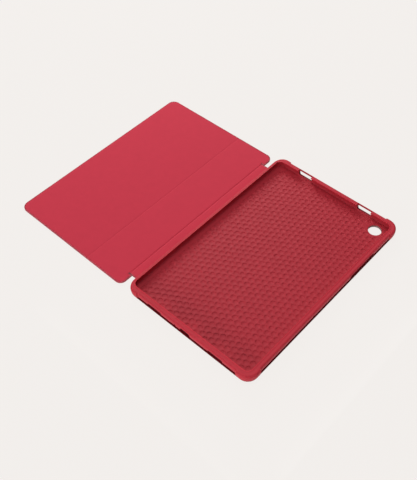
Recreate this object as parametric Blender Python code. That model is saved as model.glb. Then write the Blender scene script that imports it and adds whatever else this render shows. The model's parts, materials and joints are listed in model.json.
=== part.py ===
"""Folio case for an 11-inch tablet, lying open and flat: a moulded tray, a rear panel under it, and a
cover of two stiffened panels that hangs on a narrow spine strip.

Metres, +Z up. The origin is the centre of the rear panel's outer face, which lies on the table. +X points
to the tray's key side, +Y to its camera end, and the cover reaches out along -X.
Every layer is a solid of its own. The three creases are living hinges, so the layers stop just short of
each crease and the two sides turn about the crease's axis.
"""

import math

import bpy

MM = 0.001

# The tablet that the tray holds, and how tightly.
TABLET_LENGTH = 255.0 * MM
TABLET_WIDTH = 165.5 * MM
TABLET_THICKNESS = 7.2 * MM
TABLET_CLEARANCE = 0.2 * MM

# Layers, from the table up. Glued faces keep a gap instead of the glue.
LAYER_GAP = 0.3 * MM
SKIN = 0.7 * MM
REAR_THICKNESS = 2.3 * MM
COVER_THICKNESS = 2.6 * MM
LINING = 0.5 * MM
TAPE = 0.5 * MM

# The tray's section. An inset is measured inwards from the rear panel's edge; a set of three is for the
# spine side, the two ends and the key side.
WALL_INNER = 3.0 * MM
WALL_INSETS = (0.1 * MM, -0.4 * MM, -0.2 * MM)
BUMPER_INSETS = (0.0 * MM, -1.9 * MM, -1.7 * MM)
UNDERCUT = 0.8 * MM
UNDERCUT_HEIGHT = 1.9 * MM
FLOOR = 1.1 * MM
LIP_THICKNESS = 1.2 * MM
LIP_SPINE = 1.0 * MM
LIP_ENDS = 2.5 * MM
LIP_KEYS = 2.9 * MM
SHOULDER = 1.1 * MM
FLOOR_FILLET = 1.3 * MM
CORNER_RADIUS = 12.0 * MM
CORNER_STEPS = 8
BUMPER_LEG = 16.3 * MM
BUMPER_STEP = 0.6 * MM

# Openings in the tray.
CAMERA_CENTRE = (66.2 * MM, 114.4 * MM)
CAMERA_RADIUS = 7.8 * MM
PORT_MIDDLE = 7.2 * MM
SPEAKER_MIDDLES = (-44.0 * MM, 41.5 * MM)
SPEAKER_MIDDLE = 7.0 * MM
PORT_END_SPEAKER = (19.5 * MM, 3.2 * MM)
CAMERA_END_SPEAKER = (19.5 * MM, 5.2 * MM)
BRIDGE_INSET = 0.9 * MM
CHARGE_SIZE = (13.0 * MM, 5.0 * MM)
KEYS_MIDDLE = 59.4 * MM
KEYS_SIZE = (43.7 * MM, 5.0 * MM)
MICROPHONE_RADIUS = 0.9 * MM
END_MICROPHONE_X = -14.3 * MM
SIDE_MICROPHONE_Y = -27.5 * MM
CUTTER_REACH = 6.0 * MM

# The cover: where its creases and its free edge lie.
CREASE_SHELL_X = -87.6 * MM
CREASE_COVER_X = -100.1 * MM
CREASE_FOLD_X = -152.9 * MM
COVER_FREE_X = -271.0 * MM
COVER_EAR_X = -96.9 * MM
COVER_HALF_LENGTH = 130.9 * MM
COVER_RADIUS = 9.5 * MM
EAR_RADIUS = 8.0 * MM
SPINE_HALF_LENGTH = 113.5 * MM
NOTCH_GAP = 0.4 * MM
HINGE_HEIGHT = COVER_THICKNESS / 2
FOLD_HEIGHT = 0.35 * MM
SKIN_GAP = 0.6 * MM
BOARD_GAP = 1.4 * MM
FOLD_GAP = 0.75 * MM
SKIN_WRAP = 0.8 * MM
TAB_OVERRUN = 0.1 * MM
LINING_INSET = 0.5 * MM

# Magnets in the cover's free edge.
MAGNET_SIZE = (5.0 * MM, 14.0 * MM)
MAGNET_EDGE = 6.5 * MM
MAGNET_PLACES = (40.0 * MM, 75.0 * MM, 108.0 * MM)

# Heights and half sizes that follow.
TRAY_BOTTOM = REAR_THICKNESS + LAYER_GAP
FLOOR_TOP = TRAY_BOTTOM + FLOOR
LIP_BOTTOM = FLOOR_TOP + TABLET_THICKNESS + 0.1 * MM
TRAY_TOP = LIP_BOTTOM + LIP_THICKNESS
HALF_X = TABLET_WIDTH / 2 + TABLET_CLEARANCE + WALL_INNER
HALF_Y = TABLET_LENGTH / 2 + TABLET_CLEARANCE + WALL_INNER
BOARD_BOTTOM = SKIN + LAYER_GAP
LINING_BOTTOM = COVER_THICKNESS - LINING
BOARD_TOP = LINING_BOTTOM - LAYER_GAP

TPU_RED = (0.50, 0.045, 0.06)
SKIN_RED = (0.45, 0.03, 0.05)
LINING_RED = (0.56, 0.05, 0.08)
BOARD_GREY = (0.35, 0.33, 0.30)
TAPE_GREY = (0.55, 0.53, 0.50)
MAGNET_GREY = (0.62, 0.62, 0.63)


def material(name, colour, roughness, metallic=0.0):
    made = bpy.data.materials.new(name)
    made.use_nodes = True
    shader = made.node_tree.nodes["Principled BSDF"]
    shader.inputs["Base Color"].default_value = (*colour, 1.0)
    shader.inputs["Roughness"].default_value = roughness
    shader.inputs["Metallic"].default_value = metallic
    return made


def mesh_object(name, points, faces, finish=None):
    mesh = bpy.data.meshes.new(name)
    mesh.from_pydata(points, [], faces)
    mesh.validate()
    made = bpy.data.objects.new(name, mesh)
    bpy.context.scene.collection.objects.link(made)
    if finish:
        mesh.materials.append(finish)
    return made


def ring_stack(name, rings, finish=None):
    """A closed solid through equally long anticlockwise rings of (x, y, z) points, capped at both ends."""
    count = len(rings[0])
    points = [p for ring in rings for p in ring]
    faces = [tuple(reversed(range(count)))]
    for low in range(0, count * (len(rings) - 1), count):
        for k in range(count):
            right = (k + 1) % count
            faces.append((low + k, low + right, low + count + right, low + count + k))
    faces.append(tuple(range(len(points) - count, len(points))))
    return mesh_object(name, points, faces, finish)


def plate(name, outline, bottom, top, finish=None):
    return ring_stack(name, [[(x, y, z) for x, y in outline] for z in (bottom, top)], finish)


def arc(cx, cy, radius, start_deg, end_deg, steps=CORNER_STEPS):
    angles = [math.radians(start_deg + (end_deg - start_deg) * k / steps) for k in range(steps + 1)]
    return [(cx + radius * math.cos(a), cy + radius * math.sin(a)) for a in angles]


def rounded_rectangle(low, high, radii):
    """Anticlockwise from the lower left, with a radius for each corner in that order; 0 is a sharp corner."""
    (x0, y0), (x1, y1) = low, high
    corners = ((x0, y0, 1, 1, 180), (x1, y0, -1, 1, 270), (x1, y1, -1, -1, 0), (x0, y1, 1, -1, 90))
    outline = []
    for (x, y, sx, sy, start), radius in zip(corners, radii):
        if radius > 0:
            outline += arc(x + sx * radius, y + sy * radius, radius, start, start + 90)
        else:
            outline.append((x, y))
    return outline


def cut(target, *cutters):
    """Subtracts closed cutters from the target; they stay in the file as hidden guides."""
    for cutter in cutters:
        cutter.hide_render = True
        cutter.display_type = "WIRE"
        modifier = target.modifiers.new("cut", "BOOLEAN")
        modifier.operation = "DIFFERENCE"
        modifier.solver = "EXACT"
        modifier.object = cutter


def join_to(target, *others):
    for other in others:
        other.hide_render = True
        other.display_type = "WIRE"
        modifier = target.modifiers.new("join", "BOOLEAN")
        modifier.operation = "UNION"
        modifier.solver = "EXACT"
        modifier.object = other


def camera_cutter(name, bottom, top):
    outline = arc(*CAMERA_CENTRE, CAMERA_RADIUS, 0, 360, 40)[:-1]
    return plate(name, outline, bottom - MM, top + MM)


def port_cutter(name, centre, size, along_x, z=PORT_MIDDLE):
    """A slot with rounded ends through a wall: size is its length along the wall and its height."""
    half_length, half_height = size[0] / 2, size[1] / 2
    radius = half_height * 0.98
    across = rounded_rectangle((-half_length, -half_height), (half_length, half_height), (radius,) * 4)
    rings = []
    for side in (-CUTTER_REACH, CUTTER_REACH):
        if along_x:
            rings.append([(centre[0] + u, centre[1] - side, z + v) for u, v in across])
        else:
            rings.append([(centre[0] + side, centre[1] + u, z + v) for u, v in across])
    return ring_stack(name, rings)


def lip_notch_cutter(name, x):
    """Opens the lip and the wall over a camera-end speaker slot, and leaves a thin bridge at the outside."""
    half_length, half_height = CAMERA_END_SPEAKER[0] / 2, CAMERA_END_SPEAKER[1] / 2
    low = (x - half_length, HALF_Y - WALL_INNER - LIP_ENDS - MM)
    high = (x + half_length, HALF_Y - BRIDGE_INSET)
    bottom = SPEAKER_MIDDLE + 0.4 * half_height
    return plate(name, rounded_rectangle(low, high, (0,) * 4), bottom, TRAY_TOP + MM)


def edge_stations():
    """Anticlockwise stations on the rear panel's edge: (x, y, outward x, outward y, bumper weight)."""
    stations = []
    for quarter in range(4):
        facing = math.radians(90 * quarter)
        out = (round(math.cos(facing)), round(math.sin(facing)))
        onward = (-out[1], out[0])
        reach, length = (HALF_X, HALF_Y) if quarter % 2 == 0 else (HALF_Y, HALF_X)
        leg_in, leg_out = length - BUMPER_LEG, reach - BUMPER_LEG
        local = [(reach, leg_in - BUMPER_STEP, 1, 0, 0), (reach, leg_in, 1, 0, 1)]
        for k in range(CORNER_STEPS + 1):
            a = math.radians(90 * k / CORNER_STEPS)
            u = reach - CORNER_RADIUS + CORNER_RADIUS * math.cos(a)
            v = length - CORNER_RADIUS + CORNER_RADIUS * math.sin(a)
            local.append((u, v, math.cos(a), math.sin(a), 1))
        local += [(leg_out, length, 0, 1, 1), (leg_out - BUMPER_STEP, length, 0, 1, 0)]
        for u, v, nu, nv, bumper in local:
            x, y = u * out[0] + v * onward[0], u * out[1] + v * onward[1]
            nx, ny = nu * out[0] + nv * onward[0], nu * out[1] + nv * onward[1]
            stations.append((x, y, nx, ny, bumper))
    return stations


def side_depth(inset, nx, ny):
    """The inset where the edge faces (nx, ny). inset is one number, or (spine side, ends, key side)."""
    spine, ends, keys = inset if isinstance(inset, tuple) else (inset,) * 3
    side = keys if nx > 0 else spine
    return side * nx * nx + ends * ny * ny


def tray_ring(plain, z, bumpers=None):
    """One ring of the tray, through its inset on the plain walls and its inset at the bumpers."""
    bumpers = plain if bumpers is None else bumpers
    ring = []
    for x, y, nx, ny, bumper in edge_stations():
        depth = (1 - bumper) * side_depth(plain, nx, ny) + bumper * side_depth(bumpers, nx, ny)
        ring.append((x - nx * depth, y - ny * depth, z))
    return ring


def outer_ring(z, further_in=0.0):
    """A ring of the outer wall, moved in by a little."""
    plain = tuple(inset + further_in for inset in WALL_INSETS)
    return tray_ring(plain, z, tuple(inset + further_in for inset in BUMPER_INSETS))


def lip_inset(extra=0.0):
    return tuple(WALL_INNER + over + extra for over in (LIP_SPINE, LIP_ENDS, LIP_KEYS))


def tray_cutters():
    wall_y = HALF_Y - WALL_INNER / 2
    wall_x = HALF_X - WALL_INNER / 2
    small = (2 * MICROPHONE_RADIUS,) * 2
    cutters = [
        camera_cutter("tray_camera_cutter", TRAY_BOTTOM, FLOOR_TOP),
        port_cutter("charge_cutter", (0, -wall_y), CHARGE_SIZE, True),
        port_cutter("keys_cutter", (wall_x, KEYS_MIDDLE), KEYS_SIZE, False),
        port_cutter("end_microphone_cutter", (END_MICROPHONE_X, -wall_y), small, True),
        port_cutter("side_microphone_cutter", (wall_x, SIDE_MICROPHONE_Y), small, False),
    ]
    for number, x in enumerate(SPEAKER_MIDDLES, 1):
        port_end = (f"port_end_speaker_cutter_{number}", (x, -wall_y), PORT_END_SPEAKER)
        camera_end = (f"camera_end_speaker_cutter_{number}", (x, wall_y), CAMERA_END_SPEAKER)
        for name, centre, size in (port_end, camera_end):
            cutters.append(port_cutter(name, centre, size, True, SPEAKER_MIDDLE))
        cutters.append(lip_notch_cutter(f"lip_notch_cutter_{number}", x))
    return cutters


def tray_shell(finish):
    waist = TRAY_BOTTOM + UNDERCUT_HEIGHT
    edge = 0.3 * MM
    rings = [
        outer_ring(TRAY_BOTTOM, UNDERCUT),
        outer_ring(waist - 0.4 * MM, UNDERCUT * 0.8),
        outer_ring(waist),
        outer_ring(TRAY_TOP - SHOULDER),
        outer_ring(TRAY_TOP - 0.3 * SHOULDER, 0.3 * SHOULDER),
        outer_ring(TRAY_TOP, SHOULDER),
        tray_ring(lip_inset(-edge), TRAY_TOP),
        tray_ring(lip_inset(), TRAY_TOP - edge),
        tray_ring(lip_inset(), LIP_BOTTOM),
        tray_ring(WALL_INNER, LIP_BOTTOM),
        tray_ring(WALL_INNER, FLOOR_TOP + FLOOR_FILLET),
        tray_ring(WALL_INNER + 0.3 * FLOOR_FILLET, FLOOR_TOP + 0.3 * FLOOR_FILLET),
        tray_ring(WALL_INNER + FLOOR_FILLET, FLOOR_TOP),
    ]
    tray = ring_stack("tray_shell", rings, finish)
    cut(tray, *tray_cutters())
    return tray


def rear_outline(inset):
    radius = CORNER_RADIUS - inset
    low = (-HALF_X + inset, -HALF_Y + inset)
    return rounded_rectangle(low, (HALF_X - inset, HALF_Y - inset), (radius,) * 4)


def rear_skin(finish):
    """A shallow pan: the skin turns up round the rear board, and a tab of it runs on to the spine crease."""
    skin = plate("rear_skin", rear_outline(0), 0, REAR_THICKNESS, finish)
    pocket = plate("rear_skin_pocket", rear_outline(SKIN_WRAP), SKIN, REAR_THICKNESS + MM)
    tab_low = (CREASE_SHELL_X - TAB_OVERRUN, -SPINE_HALF_LENGTH)
    tab_high = (-HALF_X + 2 * SKIN_WRAP, SPINE_HALF_LENGTH)
    tab_outline = rounded_rectangle(tab_low, tab_high, (0,) * 4)
    tab = plate("rear_skin_tab", tab_outline, 0, SKIN)
    join_to(skin, tab)
    cut(skin, pocket, camera_cutter("rear_skin_camera_cutter", 0, REAR_THICKNESS))
    return skin


def rear_board(finish):
    board = plate("rear_board", rear_outline(SKIN_WRAP + LAYER_GAP), BOARD_BOTTOM, REAR_THICKNESS, finish)
    cut(board, camera_cutter("rear_board_camera_cutter", BOARD_BOTTOM, REAR_THICKNESS))
    return board


def inner_panel_outline(inset, fold_gap, crease_gap):
    """The panel between fold and spine, with an ear past the cover crease at each end of the spine."""
    half = COVER_HALF_LENGTH - inset
    fold_x = CREASE_FOLD_X + fold_gap
    crease_x = CREASE_COVER_X - crease_gap
    ear_x = COVER_EAR_X - inset
    notch = SPINE_HALF_LENGTH + NOTCH_GAP + inset
    radius = EAR_RADIUS - inset
    outline = [(fold_x, -half)]
    outline += arc(ear_x - radius, -half + radius, radius, 270, 360)
    outline += [(ear_x, -notch), (crease_x, -notch), (crease_x, notch), (ear_x, notch)]
    outline += arc(ear_x - radius, half - radius, radius, 0, 90)
    outline.append((fold_x, half))
    return outline


def outer_panel_outline(inset, fold_gap):
    half = COVER_HALF_LENGTH - inset
    radius = COVER_RADIUS - inset
    return rounded_rectangle(
        (COVER_FREE_X + inset, -half), (CREASE_FOLD_X - fold_gap, half), (radius, 0, 0, radius)
    )


def inner_panel(finishes):
    open_sides = 2 * MM
    skin = plate(
        "inner_panel_skin", inner_panel_outline(0, FOLD_GAP, SKIN_GAP), 0, BOARD_TOP, finishes["skin"]
    )
    pocket_outline = inner_panel_outline(SKIN_WRAP, -open_sides, -open_sides)
    cut(skin, plate("inner_skin_pocket", pocket_outline, SKIN, COVER_THICKNESS))
    board_inset = SKIN_WRAP + LAYER_GAP
    board_outline = inner_panel_outline(board_inset, FOLD_GAP, BOARD_GAP)
    board = plate("inner_panel_board", board_outline, BOARD_BOTTOM, BOARD_TOP, finishes["board"])
    lining_outline = inner_panel_outline(LINING_INSET, FOLD_GAP, BOARD_GAP)
    lining = plate("inner_panel_lining", lining_outline, LINING_BOTTOM, COVER_THICKNESS, finishes["lining"])
    return [skin, board, lining]


def magnet_outline(y, grow=0.0):
    x = COVER_FREE_X + MAGNET_EDGE
    half_x = MAGNET_SIZE[0] / 2 + grow
    half_y = MAGNET_SIZE[1] / 2 + grow
    return rounded_rectangle((x - half_x, y - half_y), (x + half_x, y + half_y), (0,) * 4)


def outer_panel(finishes):
    open_side = 2 * MM
    skin = plate("outer_panel_skin", outer_panel_outline(0, FOLD_GAP), 0, BOARD_TOP, finishes["skin"])
    pocket_outline = outer_panel_outline(SKIN_WRAP, -open_side)
    cut(skin, plate("outer_skin_pocket", pocket_outline, SKIN, COVER_THICKNESS))
    board_outline = outer_panel_outline(SKIN_WRAP + LAYER_GAP, FOLD_GAP)
    board = plate("outer_panel_board", board_outline, BOARD_BOTTOM, BOARD_TOP, finishes["board"])
    lining_outline = outer_panel_outline(LINING_INSET, FOLD_GAP)
    lining = plate("outer_panel_lining", lining_outline, LINING_BOTTOM, COVER_THICKNESS, finishes["lining"])
    made = [skin, board, lining]
    for number, y in enumerate(sorted(side * place for side in (-1, 1) for place in MAGNET_PLACES), 1):
        pocket = plate(f"magnet_pocket_{number}", magnet_outline(y, LAYER_GAP), 0, COVER_THICKNESS)
        cut(board, pocket)
        outline = magnet_outline(y)
        made.append(plate(f"cover_magnet_{number}", outline, BOARD_BOTTOM, BOARD_TOP, finishes["magnet"]))
    return made


def spine_strip(finishes):
    """The narrow strip between the two spine creases: skin, reinforcing tape and lining."""
    layers = (
        ("spine_skin", 0.0, SKIN, 0.4 * MM, SKIN_GAP, 0.0, "skin"),
        ("spine_tape", BOARD_BOTTOM, BOARD_BOTTOM + TAPE, BOARD_GAP, BOARD_GAP, 1.0 * MM, "tape"),
        ("spine_lining", LINING_BOTTOM, COVER_THICKNESS, BOARD_GAP, BOARD_GAP, 0.0, "lining"),
    )
    made = []
    for name, bottom, top, shell_gap, cover_gap, end_inset, finish in layers:
        half = SPINE_HALF_LENGTH - end_inset
        low = (CREASE_COVER_X + cover_gap, -half)
        high = (CREASE_SHELL_X - shell_gap, half)
        made.append(plate(name, rounded_rectangle(low, high, (0,) * 4), bottom, top, finishes[finish]))
    return made


def parent_in_place(child, parent):
    bpy.context.view_layer.update()
    child.parent = parent
    child.matrix_parent_inverse = parent.matrix_world.inverted()


def hang_on(axis_name, x, z, pieces, parent=None):
    """Hangs the pieces on an empty that lies on their hinge axis, which itself may hang on another axis."""
    axis = bpy.data.objects.new(axis_name, None)
    bpy.context.scene.collection.objects.link(axis)
    axis.location = (x, 0, z)
    if parent:
        parent_in_place(axis, parent)
    for piece in pieces:
        parent_in_place(piece, axis)
    return axis


def main():
    for old in list(bpy.data.objects):
        bpy.data.objects.remove(old, do_unlink=True)
    finishes = {
        "tpu": material("tpu", TPU_RED, 0.45),
        "skin": material("skin", SKIN_RED, 0.55),
        "lining": material("lining", LINING_RED, 0.9),
        "board": material("board", BOARD_GREY, 0.8),
        "tape": material("tape", TAPE_GREY, 0.9),
        "magnet": material("magnet", MAGNET_GREY, 0.35, 1.0),
    }
    tray_shell(finishes["tpu"])
    rear_skin(finishes["skin"])
    rear_board(finishes["board"])
    spine_axis = hang_on("spine_axis", CREASE_SHELL_X, HINGE_HEIGHT, spine_strip(finishes))
    cover_axis = hang_on("cover_axis", CREASE_COVER_X, HINGE_HEIGHT, inner_panel(finishes), spine_axis)
    hang_on("fold_axis", CREASE_FOLD_X, FOLD_HEIGHT, outer_panel(finishes), cover_axis)
    bpy.context.view_layer.update()


main()
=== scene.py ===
"""Looks of the folio tablet case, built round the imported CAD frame.

Sizes in this file are in millimetres, in the CAD's frame: the origin is the centre of the rear face, +X
points to the key side, +Y to the camera end and the cover reaches out along -X. mesh_object turns them
into metres.
"""

import json
import math

import bmesh
import bpy
from mathutils import Matrix, Vector
from mathutils.geometry import delaunay_2d_cdt


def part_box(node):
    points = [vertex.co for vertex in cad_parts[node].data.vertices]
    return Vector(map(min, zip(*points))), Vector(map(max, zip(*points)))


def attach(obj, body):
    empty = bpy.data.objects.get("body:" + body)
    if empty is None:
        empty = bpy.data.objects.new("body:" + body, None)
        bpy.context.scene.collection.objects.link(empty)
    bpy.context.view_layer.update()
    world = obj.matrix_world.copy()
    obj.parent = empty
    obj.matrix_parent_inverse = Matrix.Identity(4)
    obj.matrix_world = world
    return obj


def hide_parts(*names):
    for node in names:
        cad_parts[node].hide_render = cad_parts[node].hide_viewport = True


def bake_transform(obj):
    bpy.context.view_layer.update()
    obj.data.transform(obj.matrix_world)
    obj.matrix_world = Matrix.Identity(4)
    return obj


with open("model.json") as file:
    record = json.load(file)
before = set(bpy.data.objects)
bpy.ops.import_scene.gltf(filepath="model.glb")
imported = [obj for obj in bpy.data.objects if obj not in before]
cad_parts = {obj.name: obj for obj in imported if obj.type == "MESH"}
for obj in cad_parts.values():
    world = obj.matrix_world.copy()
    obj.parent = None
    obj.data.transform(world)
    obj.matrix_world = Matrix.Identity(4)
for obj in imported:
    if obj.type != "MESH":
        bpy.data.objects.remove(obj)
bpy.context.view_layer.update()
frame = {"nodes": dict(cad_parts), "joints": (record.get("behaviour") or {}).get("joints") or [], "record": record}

MM = 0.001


def box_mm(node):
    low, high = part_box(node)
    return low / MM, high / MM


# From the frame: the rear panel, the tray, the cover and the three hinges.
REAR_HIGH = box_mm("rear_skin")[1]
TRAY_LOW, TRAY_HIGH = box_mm("tray_shell")
SPINE_HIGH = box_mm("spine_skin")[1]
COVER_LOW, COVER_HIGH = box_mm("outer_panel_skin")
INNER_HIGH = box_mm("inner_panel_skin")[1]
LINING_HIGH = box_mm("outer_panel_lining")[1]
HALF_X, HALF_Y = REAR_HIGH.x, REAR_HIGH.y
REAR_TOP = REAR_HIGH.z
TRAY_BOTTOM, TRAY_TOP = TRAY_LOW.z, TRAY_HIGH.z
HINGES = {joint["name"]: Vector(joint["pos_m"]) / MM for joint in frame["joints"]}
SEAT = next(mount for mount in frame["record"]["mounts"] if mount["name"] == "tablet_seat")
FLOOR_TOP = SEAT["pos_m"][2] / MM
CREASE_SHELL_X = HINGES["spine_hinge"].x
CREASE_COVER_X = HINGES["cover_hinge"].x
FOLD_X = HINGES["fold_hinge"].x

# Outline of the rear panel and of the cover.
CORNER_RADIUS = 12.0
COVER_RADIUS = 9.5
EAR_RADIUS = 8.0
NOTCH_GAP = 0.4
NOTCH_X = CREASE_COVER_X - 0.6
STRIP_HALF = SPINE_HIGH.y
ARC_STEPS = 14
SHARP_DEGREES = 32

# The bumpers' length from a corner, and the slope from bumper to plain wall.
BUMPER_LEG = 16.3
BUMPER_STEP = 0.7
# How far the lip reaches inwards and the walls stand outwards, each for (spine side, ends, key side).
LIP_REACH = (1.0, 2.5, 2.9)
PLAIN_SHIFT = (0.5, 1.0, 0.8)
BUMPER_SHIFT = (0.1, 2.0, 1.8)

# The camera hole.
CAMERA_CENTRE = (66.2, 114.4)
CAMERA_RADIUS = 7.8
CAMERA_STEPS = 48

# Openings in the walls. PORT_END and CAMERA_END are the way that those walls face along Y.
PORT_END, CAMERA_END, KEY_SIDE = -1, 1, 1
SPEAKER_MIDDLES = (-44.0, 41.5)
SPEAKER_LENGTH = 19.5
SPEAKER_Z = 7.0
SPEAKER_HEIGHTS = {PORT_END: 3.2, CAMERA_END: 4.4}
BRIDGE_INSET = 0.9
LIP_CUT_INSET = 8.0
PORT_Z = 7.2
PORT_SIZE = (13.0, 5.0)
KEYS_MIDDLE = 59.4
KEYS_Z = 7.9
KEYS_SIZE = (43.7, 3.6)
MICROPHONE_SIZE = (1.8, 1.7)
MICROPHONE_X = -14.3
MICROPHONE_Y = -27.5
SLOT_REACH = 6.0
SLOT_BEVEL = 0.42
SLOT_STEPS = 24

# The moulded pattern of round recesses in the tray's floor: staggered rows along the length.
DIMPLE_ROW = 6.15
DIMPLE_PITCH = 7.35
DIMPLE_RADIUS = 2.95
DIMPLE_DEPTH = 0.42
DIMPLE_STEPS = 20
DIMPLE_CAMERA_GAP = 1.6

# The sheets' thickness, how far the skin is turned in over the boards, and the lining's place inside that.
SKIN = 0.7
TURNED_EDGE = 0.95
REAR_TURNED_EDGE = 2.08
REAR_TURNED_RISE = 0.14
EDGE_UNDER_BUMPER = 1.2
TURNED_EDGE_BELOW_LINING = 0.10
LINING_INSET = 1.05
LINING_END_X = -HALF_X + 0.75
LINING_STEP_X = -HALF_X - 0.4

# The creases: how far a bend reaches to each side, and how deep each is pressed into the top.
BEND_REACH = 1.6
FOLD_REACH = 1.45
BEND_CUTS = 8
FOLD_DEPTH = 0.24
COVER_CREASE_DEPTH = 0.55
SHELL_CREASE_DEPTH = 0.3
SPINE_MIDDLE_X = (CREASE_SHELL_X + CREASE_COVER_X) / 2
STRIP_END_X = CREASE_COVER_X - BEND_REACH


# ---------------------------------------------------------------- meshes

def mesh_object(name, bm, *finishes):
    """Turns a bmesh in millimetres into an object in metres, with these finishes in its material slots."""
    bmesh.ops.scale(bm, vec=(MM, MM, MM), verts=bm.verts)
    mesh = bpy.data.meshes.new(name)
    bm.to_mesh(mesh)
    bm.free()
    made = bpy.data.objects.new(name, mesh)
    bpy.context.scene.collection.objects.link(made)
    for finish in finishes:
        mesh.materials.append(finish)
    return made


def finish_mesh(made):
    """Shades the mesh smooth but for its sharp edges, and stores each vertex's resting place."""
    mesh = made.data
    mesh.shade_smooth()
    mesh.set_sharp_from_angle(angle=math.radians(SHARP_DEGREES))
    rest = mesh.attributes.new("rest_place", "FLOAT_VECTOR", "POINT")
    rest.data.foreach_set("vector", [c for vertex in mesh.vertices for c in vertex.co])
    return made


def rounded_outline(corners):
    """Stations of an anticlockwise outline, from corners (x, y, radius, tag): (x, y, mitre x, mitre y, tag).

    A mitre is the outward step that moves the outline out by one.
    """
    stations = []
    count = len(corners)
    for k, (x, y, radius, tag) in enumerate(corners):
        here = Vector((x, y))
        into = (here - Vector(corners[k - 1][:2])).normalized()
        onward = (Vector(corners[(k + 1) % count][:2]) - here).normalized()
        normal_in = Vector((into.y, -into.x))
        normal_out = Vector((onward.y, -onward.x))
        if radius:
            centre = here - radius * into + radius * onward
            for step in range(ARC_STEPS + 1):
                a = math.pi / 2 * step / ARC_STEPS
                normal = normal_in * math.cos(a) + normal_out * math.sin(a)
                spot = centre + radius * normal
                stations.append((spot.x, spot.y, normal.x, normal.y, tag))
        else:
            mitre = (normal_in + normal_out) / (1 + normal_in.dot(normal_out))
            stations.append((x, y, mitre.x, mitre.y, tag))
    return stations


def ring_mesh(rings):
    """A closed bmesh through rings of points, each anticlockwise, with a flat cap at each end."""
    bm = bmesh.new()
    loops = [[bm.verts.new(point) for point in ring] for ring in rings]
    count = len(loops[0])
    bm.faces.new(list(reversed(loops[0])))
    for low, high in zip(loops, loops[1:]):
        for k in range(count):
            right = (k + 1) % count
            bm.faces.new((low[k], low[right], high[right], high[k]))
    bm.faces.new(loops[-1])
    bmesh.ops.remove_doubles(bm, verts=bm.verts, dist=1e-5)
    return bm


def box_cutter(low, high):
    bm = bmesh.new()
    bmesh.ops.create_cube(bm, size=1.0)
    for vertex in bm.verts:
        for axis in range(3):
            vertex.co[axis] = high[axis] if vertex.co[axis] > 0 else low[axis]
    return mesh_object("cutter", bm)


def boolean(made, cutters, operation="DIFFERENCE"):
    """Applies each cutter to the object and removes the cutters. A cut face takes its cutter's material."""
    for cutter in cutters:
        modifier = made.modifiers.new("cut", "BOOLEAN")
        modifier.operation = operation
        modifier.solver = "EXACT"
        modifier.object = cutter
        modifier.material_mode = "TRANSFER"
    bpy.context.view_layer.update()
    evaluated = made.evaluated_get(bpy.context.evaluated_depsgraph_get())
    mesh = bpy.data.meshes.new_from_object(evaluated)
    made.modifiers.clear()
    made.data = mesh
    for cutter in cutters:
        bpy.data.objects.remove(cutter)
    return made


def edit_in_mm(made, change):
    """Runs change(bm) on the object's mesh with its coordinates in millimetres."""
    bm = bmesh.new()
    bm.from_mesh(made.data)
    bmesh.ops.scale(bm, vec=(1 / MM,) * 3, verts=bm.verts)
    change(bm)
    bmesh.ops.scale(bm, vec=(MM,) * 3, verts=bm.verts)
    bm.to_mesh(made.data)
    bm.free()
    return made


def cut_across(bm, places):
    """Adds an edge loop across everything at each x in places."""
    for x in places:
        everything = bm.verts[:] + bm.edges[:] + bm.faces[:]
        bmesh.ops.bisect_plane(bm, geom=everything, plane_co=(x, 0, 0), plane_no=(1, 0, 0), dist=1e-5)


def even_steps(low, high, count):
    return [low + (high - low) * k / count for k in range(count + 1)]


# ---------------------------------------------------------------- materials

TPU_RED = (0.49, 0.026, 0.042)
SKIN_RED = (0.42, 0.040, 0.062)
# The edge's colour is painted shade: the dark band where the rear panel's edge lies in the shadow of the tray's
# wall.
EDGE_SHADE_RED = (0.13, 0.006, 0.010)
LINING_RED = (0.540, 0.036, 0.062)
# The tray's colour is multiplied by these: painted shade on its floor for the shade of the tray's walls, a painted
# highlight on the lip's crest and painted shade inside the openings.
TPU_FLOOR_PAINTED_SHADE = 0.84
TPU_CREST_PAINTED_HIGHLIGHT = 1.3
TPU_OPENING_PAINTED_SHADE = 0.4


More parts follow.
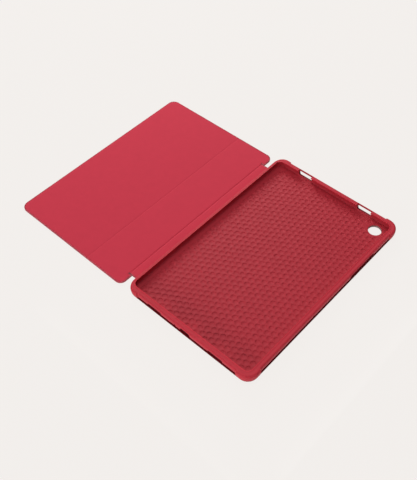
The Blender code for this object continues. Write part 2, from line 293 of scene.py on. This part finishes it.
class Nodes:
    """A short way to write a material's nodes."""

    def __init__(self, name):
        self.material = bpy.data.materials.new(name)
        self.material.use_nodes = True
        self.tree = self.material.node_tree
        self.shader = self.tree.nodes["Principled BSDF"]

    def add(self, kind, settings=None, **inputs):
        node = self.tree.nodes.new(kind)
        for key, value in (settings or {}).items():
            setattr(node, key, value)
        for key, value in inputs.items():
            self.set(node.inputs[key.replace("_", " ")], value)
        return node

    def set(self, socket, value):
        if isinstance(value, bpy.types.NodeSocket):
            self.tree.links.new(value, socket)
        else:
            socket.default_value = value

    def place(self, riding=False):
        """The texture coordinates: the resting place, or a CAD node's own coordinates."""
        if riding:
            return self.add("ShaderNodeTexCoord").outputs["Object"]
        return self.add("ShaderNodeAttribute", {"attribute_name": "rest_place"}).outputs["Vector"]

    def noise(self, place, per_metre, detail=4.0, roughness=0.55):
        return self.add("ShaderNodeTexNoise", Vector=place, Scale=per_metre, Detail=detail,
                        Roughness=roughness).outputs["Fac"]

    def cells(self, place, per_metre):
        return self.add("ShaderNodeTexVoronoi", {"feature": "F1"}, Vector=place,
                        Scale=per_metre).outputs["Distance"]

    def ramp(self, factor, low, high, start=0.3, end=0.7):
        node = self.add("ShaderNodeValToRGB", Fac=factor)
        node.color_ramp.elements[0].position = start
        node.color_ramp.elements[0].color = (*low, 1.0)
        node.color_ramp.elements[1].position = end
        node.color_ramp.elements[1].color = (*high, 1.0)
        return node.outputs["Color"]

    def range(self, factor, low, high, start=0.0, end=1.0):
        return self.add("ShaderNodeMapRange", Value=factor, From_Min=start, From_Max=end,
                        To_Min=low, To_Max=high).outputs["Result"]

    def sum(self, a, b, share):
        """a + share * b"""
        return self.math("MULTIPLY_ADD", b, share, a)

    def math(self, operation, *values):
        node = self.add("ShaderNodeMath", {"operation": operation})
        for socket, value in zip(node.inputs, values):
            self.set(socket, value)
        return node.outputs["Value"]

    def scaled(self, colour, share):
        return self.add("ShaderNodeVectorMath", {"operation": "SCALE"}, Vector=colour,
                        Scale=share).outputs["Vector"]

    def bump(self, height, strength, distance_mm):
        node = self.add("ShaderNodeBump", Height=height, Strength=strength, Distance=distance_mm * MM)
        self.set(self.shader.inputs["Normal"], node.outputs["Normal"])

    def shade(self, **inputs):
        for key, value in inputs.items():
            self.set(self.shader.inputs[key.replace("_", " ")], value)
        return self.material


def tinted(colour, share):
    return tuple(min(1.0, c * share) for c in colour)


def moulded_tpu(name="moulded_tpu", shade=1.0):
    """Slightly soft moulded plastic: satin, with a fine spark-eroded grain and a faint cloudiness.

    Painted shade makes the tray's floor a little darker and a painted highlight makes the lip's crest a little
    lighter than the rest. shade multiplies the colour of the whole; it is lowered for the painted shade inside the
    openings.
    """
    n = Nodes(name)
    place = n.place()
    cloud = n.noise(place, 28, detail=3)
    grain = n.noise(place, 2600, detail=2)
    n.bump(n.sum(grain, cloud, 0.2), 0.25, 0.05)
    height = n.add("ShaderNodeSeparateXYZ", Vector=place).outputs["Z"]
    # Painted shade: the floor is darker, for the shade that the walls cast into the tray.
    floor = n.range(height, TPU_FLOOR_PAINTED_SHADE, 1.0, (FLOOR_TOP + 0.15) * MM, (FLOOR_TOP + 1.2) * MM)
    # Painted highlight: a light line along the lip's crest.
    crest = n.range(height, shade, shade * TPU_CREST_PAINTED_HIGHLIGHT, (TRAY_TOP - 0.24) * MM, (TRAY_TOP - 0.08) * MM)
    colour = n.ramp(cloud, tinted(TPU_RED, 0.98), tinted(TPU_RED, 1.03))
    return n.shade(Base_Color=n.scaled(colour, n.math("MULTIPLY", floor, crest)),
                   Roughness=n.range(grain, 0.50, 0.62), Specular_IOR_Level=0.16)


def grained_skin():
    """Coated outer skin with a small leather-like grain."""
    n = Nodes("grained_skin")
    place = n.place()
    cloud = n.noise(place, 35, detail=3)
    pebbles = n.cells(place, 1100)
    pores = n.noise(place, 3200, detail=3)
    n.bump(n.sum(pebbles, pores, 0.35), 0.4, 0.09)
    return n.shade(Base_Color=n.ramp(cloud, tinted(SKIN_RED, 0.92), tinted(SKIN_RED, 1.06)),
                   Roughness=n.range(pebbles, 0.48, 0.66), Specular_IOR_Level=0.4)


def edge_painted_shade():
    """Painted shade: a dark colour on the rear panel's turned edge that stands for the shadowed gap under the
    tray's wall.
    """
    n = Nodes("edge_painted_shade")
    place = n.place()
    streaks = n.noise(place, 400, detail=4)
    n.bump(streaks, 0.2, 0.04)
    return n.shade(Base_Color=n.ramp(streaks, tinted(EDGE_SHADE_RED, 0.85), tinted(EDGE_SHADE_RED, 1.15)),
                   Roughness=n.range(streaks, 0.5, 0.7), Specular_IOR_Level=0.05)


def brushed_lining():
    """Microfibre lining: matt, softly mottled where the nap lies differently."""
    n = Nodes("brushed_lining")
    place = n.place()
    nap = n.noise(place, 120, detail=6, roughness=0.65)
    fibres = n.noise(place, 5200, detail=4, roughness=0.7)
    n.bump(n.sum(fibres, nap, 0.3), 0.45, 0.06)
    return n.shade(Base_Color=n.ramp(n.sum(nap, fibres, 0.25), tinted(LINING_RED, 0.98),
                                     tinted(LINING_RED, 1.02), 0.45, 0.8),
                   Roughness=n.range(fibres, 0.85, 0.98), Specular_IOR_Level=0.15,
                   Sheen_Weight=0.12, Sheen_Roughness=0.45, Sheen_Tint=(1.0, 0.55, 0.6, 1.0))


def grey_board():
    n = Nodes("grey_board")
    place = n.place(riding=True)
    flecks = n.noise(place, 900, detail=6, roughness=0.75)
    n.bump(flecks, 0.3, 0.05)
    return n.shade(Base_Color=n.ramp(flecks, (0.16, 0.15, 0.14), (0.27, 0.26, 0.24)),
                   Roughness=n.range(flecks, 0.8, 0.95))


def woven_tape():
    n = Nodes("woven_tape")
    place = n.place(riding=True)
    warp = n.add("ShaderNodeTexWave", {"bands_direction": "X"}, Vector=place, Scale=900, Distortion=0.4)
    weft = n.add("ShaderNodeTexWave", {"bands_direction": "Y"}, Vector=place, Scale=900, Distortion=0.4)
    weave = n.sum(warp.outputs["Fac"], weft.outputs["Fac"], 0.9)
    n.bump(weave, 0.5, 0.05)
    return n.shade(Base_Color=n.ramp(weave, (0.42, 0.40, 0.37), (0.62, 0.60, 0.56)),
                   Roughness=n.range(weave, 0.8, 0.95))


def plated_magnet():
    n = Nodes("plated_magnet")
    place = n.place(riding=True)
    scratches = n.noise(place, 1500, detail=5)
    n.bump(scratches, 0.15, 0.02)
    return n.shade(Base_Color=n.ramp(scratches, (0.55, 0.55, 0.56), (0.68, 0.68, 0.69)),
                   Roughness=n.range(scratches, 0.25, 0.45), Metallic=1.0)


# ---------------------------------------------------------------- tray

# The section of the tray's wall, from the bottom up the outside, over the lip and down to the floor. Each
# point: inset and height on the plain wall, inset and height at a bumper, its share of the outward shift
# and its share of the lip's reach.
UNDERCUT = (
    ((3.60, TRAY_BOTTOM), (3.60, TRAY_BOTTOM), 0, 0),
    ((2.20, TRAY_BOTTOM), (1.00, TRAY_BOTTOM), 0, 0),
    ((2.10, 3.10), (0.95, 1.45), 0, 0),
    ((1.95, 4.00), (0.40, 1.38), 0.1, 0),
    ((1.70, 4.55), (0.14, 1.60), 0.25, 0),
    ((1.30, 4.95), (0.06, 2.10), 0.4, 0),
)
OUTER_FACE = (
    ((0.92, 5.30), (0.05, 3.60), 0.6, 0),
    ((0.68, 5.90), (0.06, 5.20), 0.8, 0),
    ((0.60, 6.80), (0.08, 6.60), 0.9, 0),
    ((0.60, 8.20), (0.10, 8.20), 1, 0),
    ((0.64, 9.60), (0.18, 9.70), 1, 0),
    ((0.78, 10.50), (0.34, 10.60), 1, 0),
    ((1.05, 11.20), (0.66, 11.30), 1, 0),
    ((1.45, 11.65), (1.10, 11.80), 0.9, 0),
)
RIM = (
    ((2.00, 11.86), (1.70, 12.00), 0.6, 0.03),
    ((2.50, 11.86), (2.30, 11.94), 0.3, 0.08),
    ((2.85, 11.78), (2.80, 11.84), 0.1, 0.12),
    ((3.10, 11.75), (3.10, 11.80), 0, 0.18),
    ((3.34, 11.84), (3.34, 11.86), 0, 0.30),
    ((3.50, 11.96), (3.42, 11.98), 0, 0.45),
    ((3.40, 12.10), (3.40, 12.12), 0, 0.70),
)
# From the lip's crest inwards the wall and the bumpers are alike: inset, height and share of the lip's reach.
LIP_EDGE = (
    (3.15, 12.20, 0.90), (3.00, 12.15, 0.97), (2.96, 12.00, 1.0), (2.96, 11.40, 1.0), (3.00, 11.15, 0.95),
    (3.00, 11.00, 0.6), (3.05, 10.85, 0.15),
)
INNER_FACE = (
    (3.00, 10.40, 0), (2.92, 9.20, 0), (2.90, 7.40, 0), (3.00, 5.60, 0), (3.20, 4.70, 0), (3.55, 4.10, 0),
    (4.00, 3.80, 0), (4.50, FLOOR_TOP, 0),
)
TRAY_SECTION = UNDERCUT + OUTER_FACE + RIM + tuple(
    ((inset, z), (inset, z), 0, lip) for inset, z, lip in LIP_EDGE + INNER_FACE)
FLOOR_INSET = TRAY_SECTION[-1][0][0]
WALL_INSET = OUTER_FACE[3][0][0]


def panel_corners(plain, bumper):
    """The rear panel's corners, with a tag for the plain edge and one for the bumpers."""
    corners = []
    for quarter in range(4):
        a = math.pi / 2 * quarter
        out = (round(math.cos(a)), round(math.sin(a)))
        onward = (-out[1], out[0])
        reach, length = (HALF_X, HALF_Y) if quarter % 2 == 0 else (HALF_Y, HALF_X)
        for u, v, radius, tag in (
            (reach, length - BUMPER_LEG - BUMPER_STEP, 0, plain),
            (reach, length - BUMPER_LEG, 0, bumper),
            (reach, length, CORNER_RADIUS, bumper),
            (reach - BUMPER_LEG, length, 0, bumper),
            (reach - BUMPER_LEG - BUMPER_STEP, length, 0, plain),
        ):
            corners.append((u * out[0] + v * onward[0], u * out[1] + v * onward[1], radius, tag))
    return corners


def by_side(values, mx, my):
    """The value for an edge that faces (mx, my), out of (spine side, ends, key side)."""
    spine, ends, keys = values
    return (keys if mx > 0 else spine) * mx * mx + ends * my * my


def tray_rings():
    """Rings of points round the tray, one for each point of its section."""
    stations = rounded_outline(panel_corners(0.0, 1.0))
    rings = []
    for (plain_in, plain_z), (bumper_in, bumper_z), shift, lip in TRAY_SECTION:
        ring = []
        for x, y, mx, my, bumper in stations:
            shifted = (1 - bumper) * by_side(PLAIN_SHIFT, mx, my) + bumper * by_side(BUMPER_SHIFT, mx, my)
            inset = plain_in + (bumper_in - plain_in) * bumper
            inset += lip * by_side(LIP_REACH, mx, my) - shift * shifted
            z = plain_z + (bumper_z - plain_z) * bumper
            ring.append((x - mx * inset, y - my * inset, z))
        rings.append(ring)
    return rings


def slot_cutter(inside, axis, facing, middle, z, size, flare):
    """A slot with rounded ends through a wall, flared at the outer face. The wall faces facing along axis.

    inside is the material that its faces leave in the wall: the tray's colour darkened as painted shade.
    """
    length, height = size
    half = (HALF_X, HALF_Y)[axis]
    surface = PLAIN_SHIFT[2 - axis] - WALL_INSET
    rings = []
    for depth, grow in ((-SLOT_REACH, 0.0), (surface - SLOT_BEVEL, 0.0), (surface + 0.03, flare),
                        (SLOT_REACH, flare)):
        radius = height / 2 + grow
        ring = []
        for step in range(SLOT_STEPS):
            a = 2 * math.pi * (step + 0.5) / SLOT_STEPS
            along = radius * math.cos(a) + math.copysign((length - height) / 2, math.cos(a))
            point = [0.0, 0.0, z + radius * math.sin(a)]
            point[axis] = facing * (half + depth)
            point[1 - axis] = middle + (facing if axis == 0 else -facing) * along
            ring.append(point)
        rings.append(ring)
    bm = ring_mesh(rings)
    bmesh.ops.recalc_face_normals(bm, faces=bm.faces)
    return mesh_object("cutter", bm, inside)


def lip_notch_cutter(x):
    """Opens the lip and the wall over a camera-end speaker slot, and leaves a thin bridge at the outside."""
    half = SPEAKER_LENGTH / 2
    bottom = SPEAKER_Z + SPEAKER_HEIGHTS[CAMERA_END] / 5
    return box_cutter((x - half, HALF_Y - LIP_CUT_INSET, bottom),
                      (x + half, HALF_Y - BRIDGE_INSET, TRAY_TOP + 1))


def tray_cutters(inside):
    cutters = []
    for x in SPEAKER_MIDDLES:
        for end, height in SPEAKER_HEIGHTS.items():
            size = (SPEAKER_LENGTH, height)
            cutters.append(slot_cutter(inside, 1, end, x, SPEAKER_Z, size, flare=0.25))
        cutters.append(lip_notch_cutter(x))
    cutters.append(slot_cutter(inside, 1, PORT_END, 0.0, PORT_Z, PORT_SIZE, flare=0.45))
    cutters.append(slot_cutter(inside, 1, PORT_END, MICROPHONE_X, PORT_Z, MICROPHONE_SIZE, flare=0.2))
    cutters.append(slot_cutter(inside, 0, KEY_SIDE, KEYS_MIDDLE, KEYS_Z, KEYS_SIZE, flare=0.2))
    cutters.append(slot_cutter(inside, 0, KEY_SIDE, MICROPHONE_Y, PORT_Z, MICROPHONE_SIZE, flare=0.2))
    return cutters


def circle(cx, cy, radius, steps):
    return [(cx + radius * math.cos(2 * math.pi * k / steps), cy + radius * math.sin(2 * math.pi * k / steps))
            for k in range(steps)]


def dimple_centres():
    """Staggered rows that fill the floor but for a plain margin at the walls and round the camera hole."""
    half_x = HALF_X - FLOOR_INSET - DIMPLE_RADIUS
    half_y = HALF_Y - FLOOR_INSET - DIMPLE_RADIUS
    corner = CORNER_RADIUS - FLOOR_INSET - DIMPLE_RADIUS
    rows = int(half_x / DIMPLE_ROW) + 1
    columns = int(half_y / DIMPLE_PITCH) + 2
    centres = []
    for row in range(-rows, rows + 1):
        for column in range(-columns, columns + 1):
            x = row * DIMPLE_ROW
            y = (column + 0.5 * (row % 2)) * DIMPLE_PITCH
            if abs(x) > half_x or abs(y) > half_y:
                continue
            over = math.hypot(max(0, abs(x) - half_x + corner), max(0, abs(y) - half_y + corner))
            camera = math.hypot(x - CAMERA_CENTRE[0], y - CAMERA_CENTRE[1])
            if over <= corner and camera > CAMERA_RADIUS + DIMPLE_RADIUS + DIMPLE_CAMERA_GAP:
                centres.append((x, y))
    return centres


def fill_with_holes(bm, loop, holes, z, upward=True):
    """Fills the flat loop at height z with triangles but for the holes. Returns each hole's vertices."""
    loops = [[(vertex.co.x, vertex.co.y) for vertex in loop], *holes]
    points, faces = [], []
    for outline in loops:
        faces.append(list(range(len(points), len(points) + len(outline))))
        points += [Vector(point) for point in outline]
    made, _, triangles, origins, _, face_origins = delaunay_2d_cdt(points, [], faces, 1, 1e-6)
    verts = [None] * len(made)
    outer = set(range(len(loop)))
    hole_verts = [[None] * len(hole) for hole in holes]
    places = {}
    for number, face in enumerate(faces):
        for k, index in enumerate(face):
            places[index] = (number, k)
    for k, sources in enumerate(origins):
        source = next((s for s in sources if s in outer), None)
        verts[k] = loop[source] if source is not None else bm.verts.new((made[k].x, made[k].y, z))
        for s in sources:
            number, place = places[s]
            if number:
                hole_verts[number - 1][place] = verts[k]
    for triangle, sources in zip(triangles, face_origins):
        if list(sources) == [0]:
            corners = [verts[k] for k in triangle]
            face = bm.faces.new(corners if upward else corners[::-1])
            face.normal_update()
            if (face.normal.z > 0) != upward:
                face.normal_flip()
    return hole_verts


def sink_rings(bm, rim, centre, steps):
    """Rings of walls down from a hole's rim, through (radius share, height) steps. Returns the last ring."""
    last = rim
    for share, z in steps:
        ring = []
        for vertex in rim:
            spot = Vector(centre).lerp(Vector((vertex.co.x, vertex.co.y)), share)
            ring.append(bm.verts.new((spot.x, spot.y, z)))
        for k in range(len(rim)):
            right = (k + 1) % len(rim)
            bm.faces.new((last[k], last[right], ring[right], ring[k]))
        last = ring
    return last


def flat_face_loop(bm, z, upward):
    """Takes the large flat cap at that height out of the mesh. Returns its loop, anticlockwise from above."""
    caps = [face for face in bm.faces if abs(face.normal.z) > 0.999 and (face.normal.z > 0) == upward
            and abs(face.calc_center_median().z - z) < 0.01]
    cap = max(caps, key=lambda face: face.calc_area())
    loop = list(cap.verts)
    bm.faces.remove(cap)
    return loop if upward else loop[::-1]


def add_floor(bm):
    """The tray's floor: the pattern of round recesses above, and the camera hole through both faces."""
    bm.normal_update()
    top = flat_face_loop(bm, FLOOR_TOP, True)
    bottom = flat_face_loop(bm, TRAY_BOTTOM, False)
    centres = dimple_centres()
    holes = [circle(*CAMERA_CENTRE, CAMERA_RADIUS + 0.35, CAMERA_STEPS)]
    holes += [circle(x, y, DIMPLE_RADIUS, DIMPLE_STEPS) for x, y in centres]
    rims = fill_with_holes(bm, top, holes, FLOOR_TOP)
    inner = sink_rings(bm, rims[0], CAMERA_CENTRE, (
        (0.975, FLOOR_TOP - 0.06), (0.957, FLOOR_TOP - 0.25), (0.957, TRAY_BOTTOM)))
    for rim, centre in zip(rims[1:], centres):
        low = sink_rings(bm, rim, centre, (
            (0.985, FLOOR_TOP - 0.1 * DIMPLE_DEPTH), (0.95, FLOOR_TOP - 0.9 * DIMPLE_DEPTH),
            (0.91, FLOOR_TOP - DIMPLE_DEPTH)))
        bm.faces.new(low)
    hole = [(vertex.co.x, vertex.co.y) for vertex in inner]
    fill_with_holes(bm, bottom, [hole], TRAY_BOTTOM, upward=False)
    bmesh.ops.remove_doubles(bm, verts=bm.verts, dist=1e-4)


def make_tray(finish, inside):
    """The moulded tray. inside is its finish within the openings, darkened as painted shade."""
    tray = mesh_object("tray", ring_mesh(tray_rings()), finish, inside)
    boolean(tray, tray_cutters(inside))
    edit_in_mm(tray, add_floor)
    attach(finish_mesh(tray), "shell")
    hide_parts("tray_shell")


# ---------------------------------------------------------------- cover sheets

def case_corners():
    """The whole flat cut: rear panel, spine strip and cover. The tag is the turned edge's height."""
    cover = LINING_HIGH.z - TURNED_EDGE_BELOW_LINING
    ear_x, free_x, half = INNER_HIGH.x, COVER_LOW.x, COVER_HIGH.y
    notch = STRIP_HALF + NOTCH_GAP
    rear = panel_corners(REAR_TOP, EDGE_UNDER_BUMPER)
    # The rear panel's corners start on the key side and run anticlockwise; the spine side is the third run.
    camera_end, port_end = rear[:10], rear[10:]
    upper = [
        (-HALF_X, STRIP_HALF, 0, cover), (NOTCH_X, STRIP_HALF, 0, cover), (NOTCH_X, notch, 0, cover),
        (ear_x, notch, 0, cover), (ear_x, half, EAR_RADIUS, cover), (free_x, half, COVER_RADIUS, cover),
    ]
    lower = [(x, -y, radius, tag) for x, y, radius, tag in reversed(upper)]
    return camera_end[:-1] + upper + lower + port_end[1:]


def skin_rings(stations):
    """The outer skin: flat below, its edge rounded, turned up to each station's height and turned in.

    Each point of the section: inset, height, and its share of the station's height. The last three are the
    turned-in part, which is wider on the rear panel's open sides and lies over its board there.
    """
    section = (
        (0.70, 0.0, 0), (0.38, 0.05, 0), (0.14, 0.19, 0), (0.02, 0.42, 0), (0.0, 0.65, 0),
        (0.0, -0.35, 1), (0.04, -0.18, 1), (0.13, -0.07, 1), (0.30, -0.01, 1), (0.60, 0.0, 1),
        (TURNED_EDGE - 0.08, -0.03, 1), (TURNED_EDGE, -0.12, 1), (TURNED_EDGE, SKIN, 0),
    )
    wide = REAR_TURNED_EDGE / TURNED_EDGE
    rings = []
    for inset, z, share in section:
        ring = []
        for x, y, mx, my, top in stations:
            over = top == REAR_TOP and inset > 0.6
            reach = inset * wide if over else inset
            rise = REAR_TURNED_RISE * share if over else 0.0
            ring.append((x - mx * reach, y - my * reach, z + top * share + rise))
        rings.append(ring)
    return rings


def lining_rings(stations):
    """The lining: a thin sheet just inside the turned edge, with a rounded rim."""
    top = LINING_HIGH.z
    section = (
        (1.60, top - 0.45), (LINING_INSET, top - 0.42), (LINING_INSET, top - 0.20),
        (LINING_INSET + 0.06, top - 0.08), (LINING_INSET + 0.20, top - 0.02), (LINING_INSET + 0.45, top),
    )
    return [[(x - mx * inset, y - my * inset, z) for x, y, mx, my, _ in stations] for inset, z in section]


def groove(x, centre, reach, depth):
    away = abs(x - centre) / reach
    return depth * 0.5 * (1 + math.cos(math.pi * away)) if away < 1 else 0.0


def press_creases(bm, floor_z):
    """Presses the fold and the two spine creases into every vertex above floor_z."""
    for vertex in bm.verts:
        if vertex.co.z > floor_z:
            x = vertex.co.x
            vertex.co.z -= groove(x, FOLD_X, FOLD_REACH, FOLD_DEPTH)
            vertex.co.z -= groove(x, CREASE_COVER_X, BEND_REACH, COVER_CREASE_DEPTH)
            vertex.co.z -= groove(x, CREASE_SHELL_X, BEND_REACH, SHELL_CREASE_DEPTH)


FAR = 400.0
STRIP_SIDE = STRIP_HALF + NOTCH_GAP / 2
# For each part of a sheet: the block that is kept, and the blocks that are taken away from it.
PIECES_OF_SHEET = {
    "shell": (((SPINE_MIDDLE_X, -FAR, -9), (FAR, FAR, 9)), ()),
    "strip": (((STRIP_END_X, -STRIP_SIDE, -9), (SPINE_MIDDLE_X, STRIP_SIDE, 9)), ()),
    "cover": (((-FAR, -FAR, -9), (NOTCH_X + 20, FAR, 9)), (
        ((STRIP_END_X, -STRIP_SIDE, -9), (FAR, STRIP_SIDE, 9)),
        ((INNER_HIGH.x + 1.0, -FAR, -9), (FAR, FAR, 9)),
    )),
}
BENDS = {
    "shell": ("shell", "spine", CREASE_SHELL_X, BEND_REACH),
    "strip": ("spine", "inner_panel", CREASE_COVER_X, BEND_REACH),
    "cover": ("inner_panel", "outer_panel", FOLD_X, FOLD_REACH),
}


def piece_of_sheet(sheet, part, name, crease_floor, *finishes):
    """Cuts one part out of a whole sheet, gives it loops to bend along, and presses its creases."""
    keep, away = PIECES_OF_SHEET[part]
    made = bpy.data.objects.new(name, sheet.data.copy())
    bpy.context.scene.collection.objects.link(made)
    boolean(made, [box_cutter(*keep)], "INTERSECT")
    if away:
        boolean(made, [box_cutter(*block) for block in away])
    _, _, crease, reach = BENDS[part]

    def change(bm):
        cut_across(bm, even_steps(crease - reach, crease + reach, 2 * BEND_CUTS))
        press_creases(bm, crease_floor)
        bmesh.ops.remove_doubles(bm, verts=bm.verts, dist=1e-4)

    edit_in_mm(made, change)
    made.data.materials.clear()
    for finish in finishes:
        made.data.materials.append(finish)
    return finish_mesh(made)


def bend(piece):
    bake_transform(piece)


def on_turned_edge(x, y):
    """Whether a point lies on the turned edge of the rear panel, seen from above."""
    corner_x = abs(x) - (HALF_X - CORNER_RADIUS)
    corner_y = abs(y) - (HALF_Y - CORNER_RADIUS)
    if corner_x > 0 and corner_y > 0:
        return math.hypot(corner_x, corner_y) > CORNER_RADIUS - TURNED_EDGE - 0.05
    return max(abs(x) - HALF_X, abs(y) - HALF_Y) > -REAR_TURNED_EDGE - 0.05


def paint_shade_on_rear_edge(piece):
    """The rear panel's turned edge takes the second finish, the painted shade of the dark band."""
    for polygon in piece.data.polygons:
        centre = polygon.center / MM
        if centre.x > -HALF_X - 0.1 and centre.z > 0.1 and on_turned_edge(centre.x, centre.y):
            polygon.material_index = 1


def make_skin(skin, painted_edge_shade):
    """The outer skin of rear panel, spine and cover, cut from one sheet."""
    stations = rounded_outline(case_corners())
    whole = mesh_object("whole_skin", ring_mesh(skin_rings(stations)), skin)
    camera = circle(*CAMERA_CENTRE, CAMERA_RADIUS + 0.05, CAMERA_STEPS)
    hole = ring_mesh([[(x, y, z) for x, y in camera] for z in (-2.0, 4.0)])
    boolean(whole, [mesh_object("cutter", hole)])
    for part, name, replaced in (
        ("shell", "rear_skin_sheet", ("rear_skin",)),
        ("strip", "spine_skin_sheet", ("spine_skin",)),
        ("cover", "cover_skin_sheet", ("inner_panel_skin", "outer_panel_skin")),
    ):
        piece = piece_of_sheet(whole, part, name, SKIN + 0.3, skin, painted_edge_shade)
        if part == "shell":
            # The rear panel's turned edge gets the painted shade.
            paint_shade_on_rear_edge(piece)
        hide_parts(*replaced)
        bend(piece)
    bpy.data.objects.remove(whole)


def make_lining(finish):
    """The lining of cover and spine, which ends on the tray's side of the spine."""
    stations = rounded_outline(case_corners())
    whole = mesh_object("whole_lining", ring_mesh(lining_rings(stations)), finish)
    side = STRIP_HALF - LINING_INSET
    boolean(whole, [box_cutter((LINING_END_X, -FAR, -9), (FAR, FAR, 9)),
                    box_cutter((LINING_STEP_X, side, -9), (FAR, FAR, 9)),
                    box_cutter((LINING_STEP_X, -FAR, -9), (FAR, -side, 9))])
    for part, name, replaced in (
        ("shell", "spine_lining_tray_side", ("spine_lining",)),
        ("strip", "spine_lining_cover_side", ()),
        ("cover", "cover_lining_sheet", ("inner_panel_lining", "outer_panel_lining")),
    ):
        piece = piece_of_sheet(whole, part, name, 0.0, finish)
        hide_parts(*replaced)
        bend(piece)
    bpy.data.objects.remove(whole)


# ---------------------------------------------------------------- CAD nodes, stage, camera

def dress_cad_nodes():
    finishes = {"board": grey_board(), "tape": woven_tape(), "magnet": plated_magnet()}
    for row in frame["record"]["subparts"]:
        finish = finishes.get(row["material_slot"])
        if finish:
            node = frame["nodes"][row["node"]]
            node.data.materials.clear()
            node.data.materials.append(finish)


def make_stage():
    """A plain pale floor that is lit evenly from itself, as on a light table."""
    bm = bmesh.new()
    bmesh.ops.create_grid(bm, x_segments=1, y_segments=1, size=6000.0)
    bmesh.ops.translate(bm, vec=(0, 0, -0.05), verts=bm.verts)
    n = Nodes("pale_floor")
    floor = mesh_object("floor", bm, n.material)
    n.shade(Base_Color=(0.03, 0.029, 0.028, 1.0), Roughness=0.9, Specular_IOR_Level=0.0,
            Emission_Color=(0.877, 0.847, 0.823, 1.0), Emission_Strength=0.985)
    world = bpy.data.worlds.new("studio")
    bpy.context.scene.world = world
    world.use_nodes = True
    background = world.node_tree.nodes["Background"]
    background.inputs["Color"].default_value = (0.95, 0.97, 1.0, 1.0)
    background.inputs["Strength"].default_value = 0.08


def area_light(name, place, target, width, height, power):
    light = bpy.data.lights.new(name, "AREA")
    light.shape = "RECTANGLE"
    light.size, light.size_y = width, height
    light.energy = power
    made = bpy.data.objects.new(name, light)
    bpy.context.scene.collection.objects.link(made)
    made.location = place
    made.rotation_euler = (Vector(target) - Vector(place)).to_track_quat("-Z", "Y").to_euler()
    return made


def table_glow(name, place, target, length, power):
    """A long low strip that stands for the bright table, which lights the outer walls from below."""
    strip = area_light(name, place, target, length, 0.012, power)
    strip.visible_camera = False


def make_lights():
    area_light("key_softbox", (-1.05, 0.84, 0.74), (-0.1, 0, 0), 0.7, 0.7, 16)
    area_light("top_softbox", (-0.1, 0.0, 2.2), (-0.1, 0, 0), 1.6, 1.6, 24)
    area_light("front_fill", (-0.1, -1.6, 0.42), (-0.1, 0, 0), 1.2, 0.4, 13)
    table_glow("glow_keys", (0.17, 0, 0.009), (0, 0, 0.012), 0.36, 0.022)
    table_glow("glow_port_end", (0, -0.215, 0.009), (0, 0, 0.012), 0.28, 0.010)


def make_camera():
    """The camera's own azimuth, elevation, roll, distance and the point it looks at."""
    azimuth, elevation, roll = (math.radians(a) for a in (43.975, 50.372, -2.036))
    distance, target = 0.80803, Vector((-0.068757, -0.019822, 0.0))
    back = Vector((math.sin(azimuth) * math.cos(elevation), -math.cos(azimuth) * math.cos(elevation),
                   math.sin(elevation)))
    camera = bpy.data.cameras.new("camera")
    camera.sensor_width = 36.0
    camera.lens = 706.46 * camera.sensor_width / 480
    camera.dof.use_dof = False
    made = bpy.data.objects.new("camera", camera)
    bpy.context.scene.collection.objects.link(made)
    facing = (-back).to_track_quat("-Z", "Y").to_matrix()
    made.matrix_world = Matrix.Translation(target + distance * back) @ (
        facing @ Matrix.Rotation(roll, 3, "Z")).to_4x4()
    bpy.context.scene.camera = made


make_camera()
make_stage()
make_lights()
# The second finish is painted shade inside the openings.
make_tray(moulded_tpu(), moulded_tpu("tpu_painted_shade_in_openings", TPU_OPENING_PAINTED_SHADE))
make_skin(grained_skin(), edge_painted_shade())
make_lining(brushed_lining())
dress_cad_nodes()
bpy.context.scene.view_settings.view_transform = "Standard"
